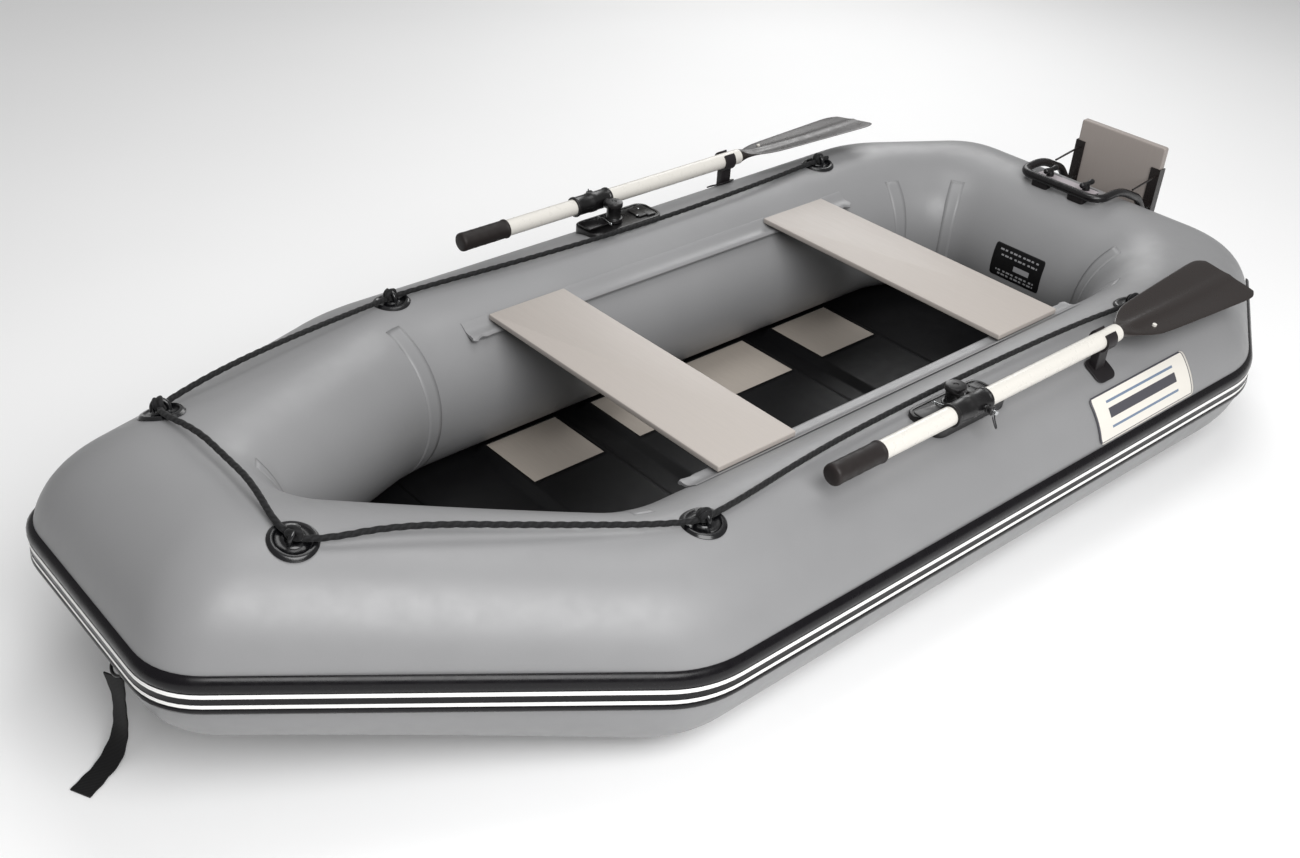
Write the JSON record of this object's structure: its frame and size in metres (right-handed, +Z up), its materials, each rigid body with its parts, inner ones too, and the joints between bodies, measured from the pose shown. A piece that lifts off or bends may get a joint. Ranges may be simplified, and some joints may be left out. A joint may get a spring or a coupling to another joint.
{
  "type": "inflatable dinghy",
  "caption": "Inflatable rowing dinghy with mitred tubes, slatted floor mat, plank seats, stowed oars and an outboard bracket.",
  "frame": {"origin": "bottom centre of the boat, on the ground between the side tubes", "axes": "+X to the bow, +Y to port, +Z up"},
  "size_m": [2.8264, 1.2906, 0.4951],
  "materials": {
    "hull_pvc": "satin grey coated PVC fabric",
    "inner_fabric": "matte uncoated side",
    "strake_rubber": "black with two white lines",
    "floor_pvc": "matte black coated fabric",
    "plywood": "painted taupe, satin",
    "slide_aluminium": "extruded",
    "steel_fasteners": "stainless",
    "lock_nylon": "black moulded nylon",
    "shaft_aluminium": "off-white sleeve",
    "grip_rubber": "black moulded grip",
    "blade_nylon": "black, semi-gloss",
    "clip_rubber": "black moulded rubber",
    "clamp_nylon": "black moulded nylon",
    "eyelet_pvc": "black moulded PVC",
    "rope": "black braided cord",
    "bracket_steel": "black powder coat",
    "tie_plate": "grey paint",
    "label_film": "printed film",
    "plate_film": "printed film",
    "strap_webbing": "black webbing"
  },
  "bodies": {
    "hull": {"air_baffles": "inner_fabric", "bracket_blocks": "clip_rubber", "bracket_bolts": "steel_fasteners", "bracket_braces": "bracket_steel", "bracket_hoop": "bracket_steel", "bracket_tie_plate": "tie_plate", "bracket_uprights": "bracket_steel", "data_plate": "plate_film", "floor_mat": "floor_pvc", "floor_skin": "floor_pvc", "floor_slats": "plywood", "grab_line": "rope", "motor_board": "plywood", "oar_clip_port": "clip_rubber", "oar_clip_starboard": "clip_rubber", "oarlock_base_port": "lock_nylon", "oarlock_base_starboard": "lock_nylon", "oarlock_pins": "steel_fasteners", "rope_eyelets": "eyelet_pvc", "rubbing_strake": "strake_rubber", "seam_tapes": "inner_fabric", "seat_rails": "hull_pvc", "side_labels": "label_film", "tow_ring": "eyelet_pvc", "tow_strap": "strap_webbing", "tube_bow": "hull_pvc", "tube_bow_port": "hull_pvc", "tube_bow_starboard": "hull_pvc", "tube_quarter_port": "hull_pvc", "tube_quarter_starboard": "hull_pvc", "tube_side_port": "hull_pvc", "tube_side_starboard": "hull_pvc", "tube_stern": "hull_pvc", "valve_bodies": "lock_nylon"},
    "front_seat": {"front_seat": "plywood", "front_seat_slides": "slide_aluminium", "front_seat_screws": "steel_fasteners"},
    "rear_seat": {"rear_seat": "plywood", "rear_seat_slides": "slide_aluminium", "rear_seat_screws": "steel_fasteners"},
    "turret_port": {"oarlock_turret_port": "lock_nylon", "oar_pin_port": "steel_fasteners", "oar_pin_clip_port": "steel_fasteners"},
    "oar_port": {"oar_shaft_port": "shaft_aluminium", "oar_grip_port": "grip_rubber", "oar_collar_port": "lock_nylon", "oar_blade_port": "blade_nylon"},
    "latch_port": {"oarlock_latch_port": "lock_nylon"},
    "valve_cap_port": {"valve_cap_port": "lock_nylon"},
    "clamp_screw_port": {"clamp_screw_port": "clamp_nylon"},
    "turret_starboard": {"oarlock_turret_starboard": "lock_nylon", "oar_pin_starboard": "steel_fasteners", "oar_pin_clip_starboard": "steel_fasteners"},
    "oar_starboard": {"oar_shaft_starboard": "shaft_aluminium", "oar_grip_starboard": "grip_rubber", "oar_collar_starboard": "lock_nylon", "oar_blade_starboard": "blade_nylon"},
    "latch_starboard": {"oarlock_latch_starboard": "lock_nylon"},
    "valve_cap_starboard": {"valve_cap_starboard": "lock_nylon"},
    "clamp_screw_starboard": {"clamp_screw_starboard": "clamp_nylon"}
  },
  "joints": [
    {"name": "front_seat_slide", "type": "slide", "parent": "hull", "child": "front_seat", "axis": [1, 0, 0], "range_m": [-0.2, 0.03]},
    {"name": "rear_seat_slide", "type": "slide", "parent": "hull", "child": "rear_seat", "axis": [1, 0, 0], "range_m": [-0.05, 0.2]},
    {"name": "oar_swing_port", "type": "hinge", "parent": "hull", "child": "turret_port", "pos_m": [-0.105, 0.485, 0.377], "axis": [0, 0, 1], "range_deg": [-110, 0], "deforming": ["oar_clip_port"]},
    {"name": "oar_lift_port", "type": "hinge", "parent": "turret_port", "child": "oar_port", "pos_m": [-0.105, 0.535, 0.41], "axis": [0, 1, 0], "range_deg": [0, 5]},
    {"name": "latch_press_port", "type": "hinge", "parent": "hull", "child": "latch_port", "pos_m": [-0.078, 0.485, 0.3823], "axis": [0, 1, 0], "range_deg": [0, 2.5], "stiffness_Nm_per_rad": 1.5, "springref_deg": -2.86},
    {"name": "valve_cap_turn_port", "type": "hinge", "parent": "hull", "child": "valve_cap_port", "pos_m": [0.032, 0.26052, 0.14811], "axis": [0, -0.9819, -0.1892], "range_deg": [0, 90]},
    {"name": "clamp_turn_port", "type": "hinge", "parent": "hull", "child": "clamp_screw_port", "pos_m": [-1.15, 0.052, 0.385], "axis": [0, 0, 1], "range_deg": [-180, 180]},
    {"name": "oar_swing_starboard", "type": "hinge", "parent": "hull", "child": "turret_starboard", "pos_m": [-0.105, -0.485, 0.377], "axis": [0, 0, 1], "range_deg": [0, 110], "deforming": ["oar_clip_starboard"]},
    {"name": "oar_lift_starboard", "type": "hinge", "parent": "turret_starboard", "child": "oar_starboard", "pos_m": [-0.105, -0.535, 0.41], "axis": [0, 1, 0], "range_deg": [0, 5]},
    {"name": "latch_press_starboard", "type": "hinge", "parent": "hull", "child": "latch_starboard", "pos_m": [-0.078, -0.485, 0.3823], "axis": [0, 1, 0], "range_deg": [0, 2.5], "stiffness_Nm_per_rad": 1.5, "springref_deg": -2.86},
    {"name": "valve_cap_turn_starboard", "type": "hinge", "parent": "hull", "child": "valve_cap_starboard", "pos_m": [0.032, -0.26052, 0.14811], "axis": [0, 0.9819, -0.1892], "range_deg": [-90, 0]},
    {"name": "clamp_turn_starboard", "type": "hinge", "parent": "hull", "child": "clamp_screw_starboard", "pos_m": [-1.15, -0.052, 0.385], "axis": [0, 0, 1], "range_deg": [-180, 180]}
  ]
}
